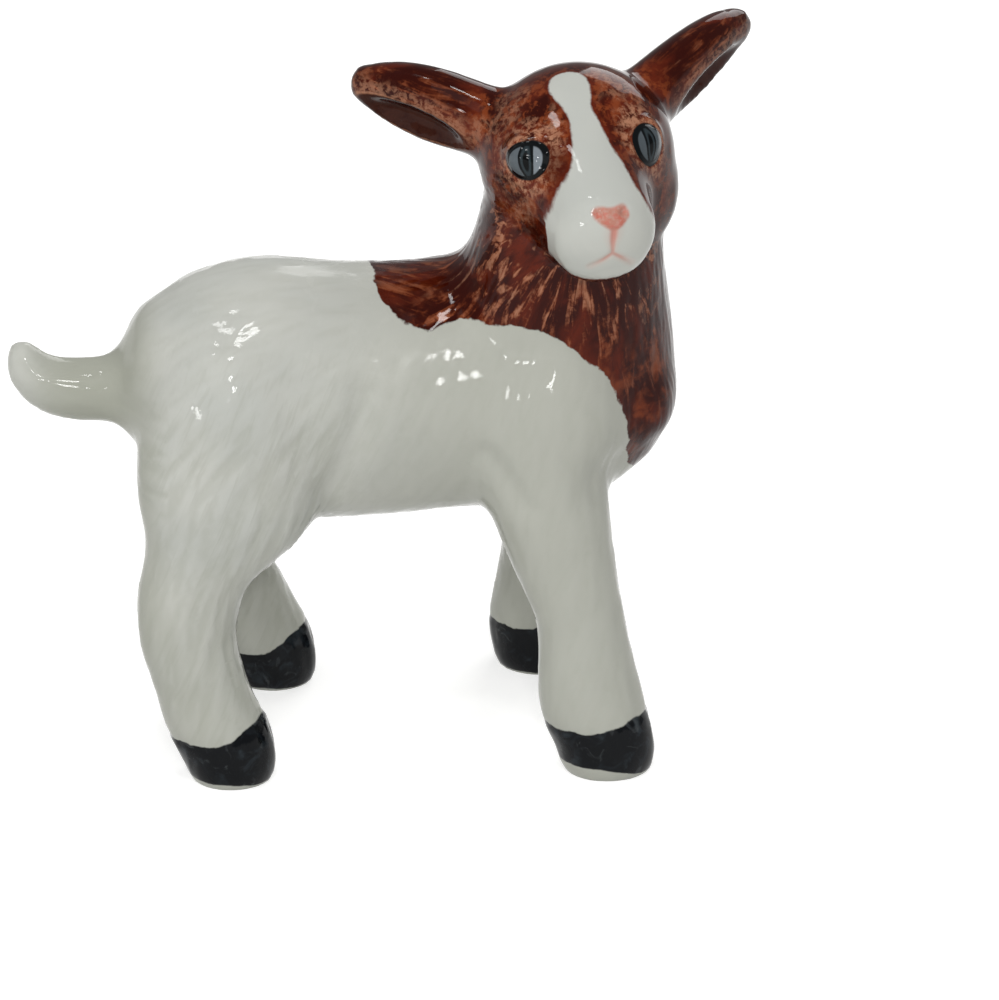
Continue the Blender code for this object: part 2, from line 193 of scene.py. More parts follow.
# Soft creases on both flanks, forward and up, with their depth and half width
creases = [
    ([(-1.0, 24.4), (-1.7, 21.6), (-2.9, 18.2)], 0.42, 1.0),      # between the thigh and the belly
    ([(6.2, 20.5), (7.2, 19.3), (8.5, 17.5)], 0.25, 0.75),        # behind the elbow
]
chestFold = {"height": 18.9, "halfWidth": 1.6, "depth": 0.45}     # across the front, above the fore legs
skin = {
    "bodyGrain": 0.5, "bodySoftening": 16,
    "headGrain": 0.35, "headSoftening": 7,
    "grain": 0.34, "softening": 4,
    "napeSoftening": 14,
    "foldSoftening": 20,                          # where the muzzle meets the cheeks
    # the finer zones, how far they reach past their edge, and how often they are softened
    "coatMargin": 0.3, "coatSoftening": 3,
    "earSoftening": 5,
    "eyeMargin": 2.1, "faceSoftening": 2,
    "blazeMargin": 0.33, "blazeSoftening": 1,
}
# Combed hair in the clay: how far apart strokes start, their length, half width and depth
combs = {
    "body": {"seed": 4, "apart": 0.95, "length": 3.6, "halfWidth": 0.36, "depth": 0.075},
    "thigh": {"seed": 6, "apart": 1.0, "length": 4.6, "halfWidth": 0.42, "depth": 0.15},
    "coat": {"seed": 9, "apart": 0.8, "length": 3.0, "halfWidth": 0.27, "depth": 0.045},
    "cheek": {"seed": 5, "apart": 0.75, "length": 1.5, "halfWidth": 0.2, "depth": 0.06},
}
strokeStep = 0.24                                 # a stroke is pressed in at points this far apart
fullGroove = 0.12                                 # depth that the paint takes for a full groove
brush = {"around": 9.0, "outwards": 0.26}         # how the coat's strokes are drawn out


def curveThrough(corners, steps):
    # a smooth curve from the second corner to the last but one
    made = []
    for a, b, c, d in zip(corners, corners[1:], corners[2:], corners[3:]):
        for step in range(steps):
            t = step / steps
            made.append(tuple(
                0.5 * (2 * q + (r - p) * t + (2 * p - 5 * q + 4 * r - s) * t ** 2
                       + (3 * q - p - 3 * r + s) * t ** 3)
                for p, q, r, s in zip(a, b, c, d)))
    return made


def smoothStations(stations, steps=5):
    # more stations, on a smooth curve through the given ones
    return curveThrough([stations[0]] + stations + [stations[-1]], steps) + [stations[-1]]


def roundedOutline(outline, steps=4):
    # a smooth closed curve through an outline's corners
    return curveThrough(outline[-1:] + outline + outline[:2], steps)


def addRing(bm, middle, along, side, depth, width, segments):
    side = (side - along * side.dot(along)).normalized()
    front = side.cross(along).normalized()
    ring = bmesh.ops.create_circle(bm, segments=segments, radius=1.0)["verts"]
    for v in ring:
        v.co = middle + side * (v.co.x * width) + front * (v.co.y * depth)
    members = set(ring)
    return list({e for v in ring for e in v.link_edges if e.other_vert(v) in members})


def addLoft(bm, stations, side, domeStart, domeEnd, segments=28):
    # a closed skin through stations of (x, y, z, half depth, half width)
    rings = smoothStations(stations)
    middles = [Vector(r[:3]) for r in rings]
    ways = [(b - a).normalized() for a, b in zip(middles, middles[1:])]
    ways = [ways[0]] + [(p + q).normalized() for p, q in zip(ways, ways[1:])] + [ways[-1]]
    full = []
    for angle in (80, 60, 40, 20):
        a = math.radians(angle)
        full.append((middles[0] - ways[0] * domeStart * math.sin(a), ways[0], math.cos(a), rings[0]))
    full += [(m, w, 1.0, r) for m, w, r in zip(middles, ways, rings)]
    for angle in (20, 40, 60, 80):
        a = math.radians(angle)
        full.append((middles[-1] + ways[-1] * domeEnd * math.sin(a), ways[-1], math.cos(a), rings[-1]))
    before = None
    for number, (middle, way, share, ring) in enumerate(full):
        edges = addRing(bm, middle, way, side, ring[3] * share, ring[4] * share, segments)
        if number in (0, len(full) - 1):
            bmesh.ops.contextual_create(bm, geom=edges)
        if before:
            bmesh.ops.bridge_loops(bm, edges=before + edges)
        before = edges


def addBall(bm, middle, radii, turn=Matrix()):
    place = Matrix.Translation(middle) @ turn @ Matrix.Diagonal((*radii, 1.0))
    bmesh.ops.create_uvsphere(bm, u_segments=32, v_segments=20, radius=1.0, matrix=place)


leftWay = Vector((0, 1, 0))
hipX, shoulderX, midHeight = body["hipX"], body["shoulderX"], body["trunkHeight"]


def addTrunk(bm):
    stations = [(hipX + x, 0, midHeight + z, height, width) for x, z, height, width in body["trunk"]]
    addLoft(bm, stations, leftWay, body["rumpDome"], body["chestDome"], segments=36)
    for hand in (-1, 1):
        for joint, (place, radii) in ((hipX, body["thigh"]), (shoulderX, body["shoulder"])):
            addBall(bm, Vector((joint + place[0], hand * place[1], midHeight + place[2])), radii)
    (forward, up), radii = body["withers"]
    addBall(bm, Vector((shoulderX + forward, 0, midHeight + up)), radii)


def addTail(bm):
    stations = [(hipX - x, 0, midHeight + z, height, width) for x, z, height, width in tail["sections"]]
    addLoft(bm, stations, leftWay, tail["rootDome"], tail["tipDome"])


legSides = (("rightHind", -1), ("leftHind", 1), ("rightFore", -1), ("leftFore", 1))


def legRoot(name):
    # where a leg hangs, its spread there and the stance of its pair
    if "Fore" in name:
        return shoulderX, legs["foreSpread"], legs["foreStance"]
    return hipX, legs["hindSpread"], legs["hindStance"]


def hoofPlace(name, hand):
    jointX, _, stance = legRoot(name)
    return jointX + hooves[name][0], hand * stance / 2


def addLeg(bm, name, hand):
    jointX, spread, stance = legRoot(name)
    top = midHeight + legs["topRise"]
    stations = []
    for down, forward, length, width in legs[name]:
        out = spread + (stance / 2 - spread) * min(1.0, down / legs["spreadEnd"])
        stations.append((jointX + forward, hand * out, top * (1 - down), length, width))
    hoof, out = hoofPlace(name, hand)
    halfLength, half, share = hooves[name][1], hooves["halfWidth"], hooves["soleShare"]
    stations += [
        (hoof - hooves["topSetback"], out, hooves["height"], halfLength - hooves["topNarrowing"], half),
        (hoof, out, hooves["height"] * hooves["widest"], halfLength, half),
        (hoof, out, 0.0, halfLength * share, half * share)]
    addLoft(bm, stations, leftWay, legs["topDome"], legs["endDome"])


def addLegs(bm):
    for name, hand in legSides:
        addLeg(bm, name, hand)


def addNeck(bm):
    stations = [(shoulderX + x, -y, midHeight + z, depth, width) for x, z, y, depth, width in body["neck"]]
    addLoft(bm, stations, leftWay, body["neckDome"], body["neckDome"], segments=36)


# Turns the head's own directions (forward, left, up) into the goat's
headMiddle = (shoulderX + head["forward"], -head["right"], midHeight + head["rise"])
headAngles = Euler((math.radians(-head["tilt"]), 0, math.radians(-head["turn"])), "XYZ")
headPlace = Matrix.Translation(headMiddle) @ headAngles.to_matrix().to_4x4()
headTurn = headPlace.to_3x3()
# Turns the head's directions into those of the face, which leans over
faceTurn = Matrix.Rotation(math.radians(-face["roll"]), 4, "X")


def eyeSpot(hand):
    forward, aside, up = face["eye"]
    if hand > 0:
        return Vector((forward, aside, up)) + Vector(face["leftEyeShift"])
    return Vector((forward, -aside, up))


def addHead(bm):
    for name in ("skull", "jaw"):
        addBall(bm, headPlace @ Vector(head[name][0]), head[name][1], headTurn.to_4x4())
    stations = [(*(headPlace @ Vector(station[:3])), *station[3:]) for station in head["muzzle"]]
    addLoft(bm, stations, headTurn @ leftWay, head["muzzleRootDome"], head["muzzleDome"])
    for hand in (-1, 1):
        back, inwards = face["eyeInset"]
        inside = eyeSpot(hand) - Vector((back, inwards * hand + face["shift"], 0.0))
        addBall(bm, headPlace @ faceTurn.inverted() @ inside, (face["eyeBulge"],) * 3)
        addEar(bm, hand)


def earFrame(hand):
    # an ear's root, the way it runs, the side towards its upper edge and the side it opens to
    forward, aside, rise, length, sweep, lift, opening = ears["left" if hand > 0 else "right"]
    back, up = math.radians(sweep), math.radians(lift)
    way = Vector((-math.sin(back) * math.cos(up), hand * math.cos(back) * math.cos(up), math.sin(up)))
    upper = Matrix.Rotation(math.radians(opening), 3, "Y") @ Vector((0, 0, 1))
    upper = (upper - way * upper.dot(way)).normalized()
    root = headPlace @ Vector((forward, hand * aside, rise))
    return length, root, headTurn @ way, headTurn @ upper, headTurn @ way.cross(upper) * hand


def addEar(bm, hand):
    length, root, way, upper, _ = earFrame(hand)
    stations = [(*(root + way * length * share), thick, width) for share, width, thick in ears["sections"]]
    addLoft(bm, stations, upper, ears["rootDome"], ears["tipDome"])


def scoopPlace(hand):
    length, root, way, upper, opening = earFrame(hand)
    share, out, down = ears["scoop"]
    turn = Matrix((way, opening, upper)).transposed().to_4x4()
    return Matrix.Translation(root + way * length * share + opening * out - upper * down) @ turn


def addScoops(bm):
    for hand in (-1, 1):
        place = scoopPlace(hand)
        addBall(bm, place.translation, ears["scoopRadii"], place.to_3x3().to_4x4())


def heldShape(bm, name):
    bmesh.ops.recalc_face_normals(bm, faces=bm.faces[:])
    mesh = bpy.data.meshes.new(name)
    bm.to_mesh(mesh)
    bm.free()
    shape = bpy.data.objects.new(name, mesh)
    bpy.context.scene.collection.objects.link(shape)
    return shape


def oneSkin(bm, grain, rounds, cutter=None):
    # the shapes of a bmesh as one softened skin, less a cutter
    shape = heldShape(bm, "shapes")
    remesh = shape.modifiers.new("oneSkin", "REMESH")
    remesh.mode = "VOXEL"
    remesh.voxel_size = grain
    if cutter:
        scoop = heldShape(cutter, "scoop")
        cut = shape.modifiers.new("hollows", "BOOLEAN")
        cut.operation = "DIFFERENCE"
        cut.solver = "EXACT"
        cut.object = scoop
    smooth = shape.modifiers.new("softening", "SMOOTH")
    smooth.factor = 0.5
    smooth.iterations = rounds
    made = bpy.data.meshes.new_from_object(shape.evaluated_get(bpy.context.evaluated_depsgraph_get()))
    bpy.data.objects.remove(shape)
    if cutter:
        bpy.data.objects.remove(scoop)
    return made


def grouped(*builders):
    bm = bmesh.new()
    for build in builders:
        build(bm)
    return bm


def carried(points, matrix):
    # an array of points through a 4 by 4 matrix
    matrix = np.array(matrix)
    return points @ matrix[:3, :3].T + matrix[:3, 3]


def faceCoords(points):
    # forward, aside and up in the face's own directions, for an array of points
    local = carried(points, faceTurn @ headPlace.inverted())
    local[:, 1] += face["shift"]
    return local


def lineDistance(points, line, closed=False):
    # distance of each flat point from a line of points
    corners = np.array(line + [line[0]] if closed else line)
    best = np.full(len(points), 1e9)
    for a, b in zip(corners[:-1], corners[1:]):
        way = b - a
        share = np.clip(((points - a) @ way) / (way @ way), 0, 1)
        best = np.minimum(best, np.linalg.norm(points - a - share[:, None] * way, axis=1))
    return best


def edgeDistance(points, outline):
    # signed distance from a closed outline, positive inside
    inside = np.zeros(len(points), bool)
    for (ax, ay), (bx, by) in zip(outline, outline[1:] + outline[:1]):
        crosses = (ay > points[:, 1]) != (by > points[:, 1])
        with np.errstate(divide="ignore", invalid="ignore"):
            at = (bx - ax) * (points[:, 1] - ay) / (by - ay) + ax
        inside ^= crosses & (points[:, 0] < at)
    return np.where(inside, 1.0, -1.0) * lineDistance(points, outline, closed=True)


def ease(value, low, high):
    t = np.clip((value - low) / (high - low), 0, 1)
    return t * t * (3 - 2 * t)


def bell(distance, halfWidth):
    # 1 along a line, falling off beside it
    return np.exp(-(distance / halfWidth) ** 2)


def capeDistance(points):
    # the left side isn't quite the mirror image of the right
    far = ease(points[:, 1], 0.5, 6.0)
    flat = np.stack([points[:, 0] + 0.9 * far, points[:, 2] + 0.5 * far * np.sin(points[:, 0] * 0.7)], axis=1)
    return edgeDistance(flat, cape)


def placesOf(mesh):
    co = np.empty(len(mesh.vertices) * 3)
    mesh.vertices.foreach_get("co", co)
    return co.reshape(-1, 3)


def normalsOf(mesh):
    normals = np.empty(len(mesh.vertices) * 3)
    mesh.vertices.foreach_get("normal", normals)
    return normals.reshape(-1, 3)


def vertPlaces(bm):
    return np.array([v.co for v in bm.verts])


def softenNear(bm, chosen, rounds):
    verts = [v for v, use in zip(bm.verts, chosen) if use]
    for _ in range(rounds):
        bmesh.ops.smooth_vert(bm, verts=verts, factor=0.5, use_axis_x=True, use_axis_y=True, use_axis_z=True)


def refine(bm, chosen):
    # halves the edges between chosen vertices
    wanted = {v for v, use in zip(bm.verts, chosen) if use}
    edges = [e for e in bm.edges if e.verts[0] in wanted and e.verts[1] in wanted]
    bmesh.ops.subdivide_edges(bm, edges=edges, cuts=1, use_grid_fill=True)


def napeZone(points):
    local = faceCoords(points)
    return (np.abs(points[:, 2] - 33.0) < 3.2) & (local[:, 0] < 1.5) & (np.abs(local[:, 1]) < 7.5)


def foldZone(points):
    forward, aside, up = faceCoords(points).T
    return (forward > 2.6) & (forward < 7.2) & (np.abs(aside) > 2.3) & (up > -4.6) & (up < 1.2)


def coatZone(points):
    return capeDistance(points) > -skin["coatMargin"]


def earZone(points):
    return (np.abs(faceCoords(points)[:, 1]) > 6.6) & (points[:, 2] > 35.0)


def blazeDistance(local):
    # from the edge of the white, positive inside; past the brow, up is measured over the skull
    overBrow = face["brow"] * np.arctan2(local[:, 2], local[:, 0])
    up = np.where(local[:, 2] > 2.5, np.maximum(overBrow, local[:, 2]), local[:, 2])
    edge = edgeDistance(np.stack([local[:, 1], up], axis=1), roundedOutline(face["blaze"]))
    (forward, steep), (aside, steepAside), (height, steepUp) = face["whiteEnds"]
    side = steep * (local[:, 0] - forward) + steepAside * np.maximum(0, aside - np.abs(local[:, 1]))
    side += steepUp * np.maximum(0, local[:, 2] - height)
    front = local[:, 0] > np.where(local[:, 2] > 2.5, -3.0, 2.0)
    return np.where(front, np.minimum(edge, side), -3.0)


def blazeZone(points):
    return np.abs(blazeDistance(faceCoords(points))) < skin["blazeMargin"]


def faceZone(points):
    local = faceCoords(points)
    fromEyes = [np.linalg.norm(local - np.array(eyeSpot(hand)), axis=1) for hand in (-1, 1)]
    forward, aside, up = local.T
    snout = (forward > 7.4) & (np.abs(aside) < 1.9) & (up < 0.7) & (up > -4.3)
    return (np.min(fromEyes, axis=0) < skin["eyeMargin"]) | snout


# The body and the head get a skin each, and both together one that is finer
bodyMesh = oneSkin(grouped(addTrunk, addTail, addLegs, addNeck), skin["bodyGrain"], skin["bodySoftening"])
headMesh = oneSkin(grouped(addHead), skin["headGrain"], skin["headSoftening"], cutter=grouped(addScoops))
both = bmesh.new()
both.from_mesh(bodyMesh)
both.from_mesh(headMesh)
goatMesh = oneSkin(both, skin["grain"], skin["softening"])
print("goat: one skin of", len(goatMesh.polygons), "faces")

# The nape and the folds beside the muzzle are softened, and the soles cut level
bm = bmesh.new()
bm.from_mesh(goatMesh)
nape, fold = napeZone(vertPlaces(bm)), foldZone(vertPlaces(bm))
softenNear(bm, nape, skin["napeSoftening"])
softenNear(bm, fold, skin["foldSoftening"])
cut = bmesh.ops.bisect_plane(
    bm, geom=bm.verts[:] + bm.edges[:] + bm.faces[:], plane_co=(0, 0, 0), plane_no=(0, 0, 1),
    clear_inner=True)["geom_cut"]
bmesh.ops.holes_fill(bm, edges=[e for e in cut if isinstance(e, bmesh.types.BMEdge)])

# The coat, the face and the edge of the white get a finer grain
for zone, finer, rounds in (
        (coatZone, True, skin["coatSoftening"]), (earZone, False, skin["earSoftening"]),
        (faceZone, True, skin["faceSoftening"]), (blazeZone, True, skin["blazeSoftening"])):
    if finer:
        refine(bm, zone(vertPlaces(bm)))
    softenNear(bm, zone(vertPlaces(bm)), rounds)
bm.normal_update()
bm.to_mesh(goatMesh)
bm.free()
print("goat: refined to", len(goatMesh.polygons), "faces")

# Carving: how deep the surface is pressed in at each vertex
places = placesOf(goatMesh)
normals = normalsOf(goatMesh)
local = faceCoords(places)
count = len(places)
inward = np.zeros(count)
groove = np.zeros(count)
capeEdge = capeDistance(places)
blazeEdge = blazeDistance(local)
snout = local[:, 0] > face["snoutFrom"]
noseEdge = np.where(snout, edgeDistance(local[:, 1:], roundedOutline(face["nose"])), -3.0)
fromMouth = np.min([lineDistance(local[:, 1:], line) for line in face["mouth"]], axis=0)
mouthLine = np.where(snout, fromMouth, 3.0)
chinLine = np.where(snout, lineDistance(local[:, 1:], face["chin"]), 3.0)

# Each eye's own places: along from the outer to the inner corner, up, and the side it is on
eyePlace = np.full((count, 3), 9.0)
for hand in (-1, 1):
    flip = np.array([1, hand, 1])
    shape = face["leftEyeShape"] if hand > 0 else (1.0, 1.0)
    off = local - np.array(eyeSpot(hand))
    along = off @ (np.array(face["eyeAlong"]) * flip) * shape[0]
    up = off @ (np.array(face["eyeUp"]) * flip) * shape[1]
    near = np.linalg.norm(off, axis=1) < face["eyeReach"]
    eyePlace[near] = np.stack([along, up, np.full(count, hand)], axis=1)[near]
lidShift, lidHalfWidth, lidHalfHeight = face["lidOval"]
eyeOval = np.hypot((eyePlace[:, 0] + lidShift) / lidHalfWidth, eyePlace[:, 1] / lidHalfHeight)
inward += face["lidGroove"] * bell(eyeOval - 1.0, 0.11)
inward -= face["eyeballRise"] * (1 - ease(eyeOval, 0.2, 0.95))
inward -= face["upperLidRise"] * bell(eyeOval - 1.3, 0.2) * ease(eyePlace[:, 1], 0.0, 0.7)

for aside, up in face["nostrils"]:
    away = np.hypot(local[:, 1] - aside, local[:, 2] - up)
    inward += np.where(snout, face["nostrilDepth"] * bell(away, face["nostrilRadius"]), 0)
inward -= face["noseRise"] * ease(noseEdge, -0.1, 0.35)
inward += face["mouthDepth"] * bell(mouthLine, face["mouthHalfWidth"])
inward += face["chinDepth"] * bell(chinLine, face["chinHalfWidth"])

sides = ease(np.abs(places[:, 1]), 2.5, 5.0)
for line, depth, halfWidth in creases:
    inward += depth * sides * bell(lineDistance(places[:, [0, 2]], line), halfWidth)
facingFront = ease(normals[:, 0], 0.15, 0.7) * (places[:, 0] > 11)
inward += chestFold["depth"] * facingFront * bell(places[:, 2] - chestFold["height"], chestFold["halfWidth"])

# Hollow of each ear, and each ear's own places: across, out of the opening, and along
earHollow = np.full(count, 3.0)
onEar = np.zeros(count)
earPlace = np.zeros((count, 3))
for hand in (-1, 1):
    inScoop = carried(places, scoopPlace(hand).inverted())
    size = np.linalg.norm(inScoop / np.array(ears["scoopRadii"]), axis=1)
    earHollow = np.minimum(earHollow, (size - 1.0) * ears["scoopToMm"])
    length, root, way, upper, opening = earFrame(hand)
    off = places - np.array(root)
    along = off @ np.array(way)
    mine = ease(along, 1.2, 3.2) * (np.linalg.norm(off, axis=1) < length + 3)
    onEar = np.maximum(onEar, mine)
    own = np.stack([off @ np.array(upper) * 1.3, off @ np.array(opening) * 1.3, along * 0.35], axis=1)
    earPlace[mine > 0] = own[mine > 0]

# The black and the bare rim of each hoof, its cleft, and the groove along the black
hoofEdge = np.full(count, -5.0)
rimEdge = np.full(count, -5.0)
reachForward, reachAside, reachUp = hooves["reach"]
for name, hand in legSides:
    heel, rise, rim = hooves[name][2:]
    x, y = hoofPlace(name, hand)
    along, aside, up = places[:, 0] - x, places[:, 1] - y, places[:, 2]
    mine = (np.abs(along) < reachForward) & (np.abs(aside) < reachAside) & (up < reachUp)
    hoofEdge = np.where(mine, heel + rise * ease(along, -1.2, 1.8) - up, hoofEdge)
    rimEdge = np.where(mine, rim * ease(-along, -3.2, 1.0) + 0.05 - up, rimEdge)
    cleft = bell(aside, hooves["cleftHalfWidth"]) * ease(along, 0.6, 2.4)
    inward += np.where(mine, hooves["cleftDepth"] * cleft * (1 - ease(up, 2.2, 4.2)), 0)
    inward += hooves["crownDepth"] * (bell(hoofEdge, hooves["crownHalfWidth"]) * mine)

# Combed hair: strokes that follow the skin in a given way
spots = kdtree.KDTree(count)
for index, place in enumerate(places):
    spots.insert(place, index)
spots.balance()
poll = np.array(headPlace @ Vector((0.5, 0.0, -0.5)))                # the coat's strokes fan out from here


def bodyWay(point, normal):
    # out along the tail and up at its tip, else down and back, most of all on the thighs and the back
    x, _, z = point
    if x < -12.8 and z > 17:
        return Vector((-1.0, 0.0, 0.1 if x > -19 else 0.9))
    down = 1.0 - min(1.0, max(0.0, (z - 6.0) / 20.0))
    if x < -2.0:
        back = 0.95 - 0.85 * down ** 0.6
    elif x < 6.0:
        back = 0.35
    else:
        back = 0.12
    if normal[2] > 0.75:
        back += 1.2 * normal[2]
    return Vector((-back, 0.0, -1.0 + 0.8 * max(0.0, normal[2])))


def coatWay(point, normal):
    away = Vector(point) - Vector(poll)
    return Vector((away.x, away.y * 0.6, away.z - 1.5))


def cheekWay(point, normal):
    # back from the nose, and down
    away = Vector(point) - headPlace @ Vector((8.5, 0.0, -1.0))
    return away + Vector((0, 0, -2.0))


def comb(which, kind, way):
    # short strokes over the chosen vertices, each tapering off at both ends
    rng = random.Random(kind["seed"])
    chosen = list(np.flatnonzero(which))
    rng.shuffle(chosen)
    taken = set()
    strokes = 0
    for start in chosen:
        spot = places[start]
        cell = tuple(int(round(c / kind["apart"])) for c in spot)
        if cell in taken:
            continue
        taken.add(cell)
        strokes += 1
        length = kind["length"] * rng.uniform(0.55, 1.3)
        bend = rng.uniform(-0.22, 0.22)
        depth = kind["depth"] * rng.uniform(0.45, 1.0)
        halfWidth = kind["halfWidth"] * rng.uniform(0.75, 1.2)
        steps = max(4, int(length / strokeStep))
        point = Vector(spot)
        index = start
        for step in range(steps):
            share = (step + 0.5) / steps
            normal = Vector(normals[index])
            going = way(point, normal)
            going = going - normal * going.dot(normal)
            if going.length < 1e-4:
                break
            going.normalize()
            going = (going + normal.cross(going) * bend).normalized()
            nearest, index, _ = spots.find(point + going * (length / steps))
            point = point + going * (length / steps)
            out = Vector(normals[index])
            point = point + out * (nearest - point).dot(out)         # back onto the skin
            taper = math.sin(math.pi * min(1.0, share * 1.05)) ** 0.7 if share < 0.95 else 0.2
            for _, other, distance in spots.find_range(point, halfWidth):
                press = taper * (1 - (distance / halfWidth) ** 2) ** 2
                if press * depth > groove[other] * fullGroove:
                    groove[other] = max(groove[other], press * depth / fullGroove)
    return strokes


bare = (eyeOval < 1.5) | (noseEdge > -0.3) | (hoofEdge > -0.4)
flatSole = places[:, 2] < 0.3
onBody = (capeEdge < -0.4) & ~bare & ~flatSole
onHead = (local[:, 0] > -6.0) & (places[:, 2] > 33.5) & (capeEdge > 0)
onCoat = (capeEdge > 0.1) & ~onHead & (earHollow > 0.2)
onCheek = onHead & (blazeEdge < -0.35) & ~bare
onCheek &= (local[:, 2] < 0.5) & (local[:, 1] < 0.5) & (local[:, 1] > -7.0)
onThigh = onBody & (places[:, 0] < -2.0) & (places[:, 0] > -13.5) & (places[:, 2] > 7) & (places[:, 2] < 24)
strokes = comb(onBody & ~onThigh, combs["body"], bodyWay)
strokes += comb(onThigh, combs["thigh"], bodyWay)
strokes += comb(onCoat, combs["coat"], coatWay)
strokes += comb(onCheek, combs["cheek"], cheekWay)
inward += groove * fullGroove
print("goat:", strokes, "strokes of combed hair")

carved = places - normals * inward[:, None]
carved[:, 2] = np.where(flatSole & (places[:, 2] < 0.02), 0.0, np.maximum(carved[:, 2], 0.0))

# Where brush strokes run: round the poll, across, and slowly outwards
away = carved - poll
radius = np.hypot(away[:, 0], away[:, 2])
turnAngle = np.arctan2(away[:, 0], -away[:, 2])
brushPlace = np.stack([turnAngle * brush["around"], carved[:, 1], radius * brush["outwards"]], axis=1)

# How far the paint of each part reaches, 0 to 1
headShare = ease(local[:, 0], -6.5, -4.5) * ease(places[:, 2] + 0.3 * np.abs(local[:, 0]), 34.3, 37.3)
throat = ease(places[:, 2], 26.0, 29.5) * (1 - ease(places[:, 2], 36.0, 38.5)) * ease(places[:, 0], 4.0, 7.0)
thinGlaze = ease(places[:, 0], -7.5, -4.0) * (1 - ease(places[:, 0], 1.0, 3.5))
thinGlaze *= ease(places[:, 2], 19.0, 22.0)
chest = (1 - ease(places[:, 2], 24.0, 28.0)) * ease(places[:, 0], 11.0, 13.5)

# Into metres, about the middle of the footprint
carved[:, :2] -= np.array(body["middle"])
goatMesh.vertices.foreach_set("co", (carved * millimetre).ravel())
goatMesh.update()


def keepValue(name, values):
    layer = goatMesh.attributes.new(name, "FLOAT", "POINT")
    layer.data.foreach_set("value", np.asarray(values, np.float32))


def keepPlace(name, values):
    layer = goatMesh.attributes.new(name, "FLOAT_VECTOR", "POINT")
    layer.data.foreach_set("vector", np.asarray(values, np.float32).ravel())


for name, values in (
        ("capeEdge", capeEdge), ("blazeEdge", blazeEdge), ("noseEdge", noseEdge), ("mouthLine", mouthLine),
        ("hoofEdge", hoofEdge), ("rimEdge", rimEdge), ("earHollow", earHollow), ("groove", groove),
        ("headShare", headShare), ("onEar", onEar), ("throat", throat), ("chest", chest),
        ("thinGlaze", thinGlaze)):
    keepValue(name, values)
for name, values in (
        ("eyePlace", eyePlace), ("facePlace", local), ("brushPlace", brushPlace), ("earPlace", earPlace)):
    keepPlace(name, values)
goatMesh.name = "goatPorcelain"
for polygon in goatMesh.polygons:
    polygon.use_smooth = True
goat = bpy.data.objects.new("goatPorcelain", goatMesh)
bpy.context.scene.collection.objects.link(goat)

# Glaze and paint, with the colours as a screen shows them, 0 to 255
paints = {
    "glaze": (195, 196, 189), "glazeCool": (188, 190, 184),
    "glazePool": (158, 160, 147), "glazeShadeAndDarkTail": (175, 176, 166),
    "maroon": (50, 10, 4), "brown": (96, 32, 14), "russet": (136, 64, 32), "tan": (178, 126, 98),
    "nosePink": (188, 130, 114), "noseLine": (196, 116, 100), "blush": (200, 174, 163),
    "hoof": (14, 16, 19), "hoofSheen": (36, 42, 47), "hoofGrey": (74, 78, 80),
    "lid": (12, 15, 17), "eyeWhite": (124, 131, 137), "eyeShade": (92, 99, 104), "iris": (46, 55, 59),
    "pupil": (6, 8, 9), "deepShade": (44, 7, 2),
}
# Ovals in an eye: half width, half height, shift to the outer corner
eyeOvals = {
    "lid": (1.48, 1.19, 0.06), "open": (1.0, 0.9, -0.03),
    "iris": (0.36, 1.25, -0.14), "pupil": (0.16, 0.62, -0.15),
}
gloss = {
    "roughness": (0.035, 0.075),
    "thinRoughness": 0.22,                        # added where the glaze is thin
    "ior": 1.45,
    "specularLevel": 0.13,
    # strength, and depth in metres
    "ripple": (0.3, 0.00007),
    "hair": (0.35, 0.00003),
}


def paint(name):
    def linear(c):
        c = c / 255
        return c / 12.92 if c <= 0.04045 else ((c + 0.055) / 1.055) ** 2.4
    return (*[linear(c) for c in paints[name]], 1.0)


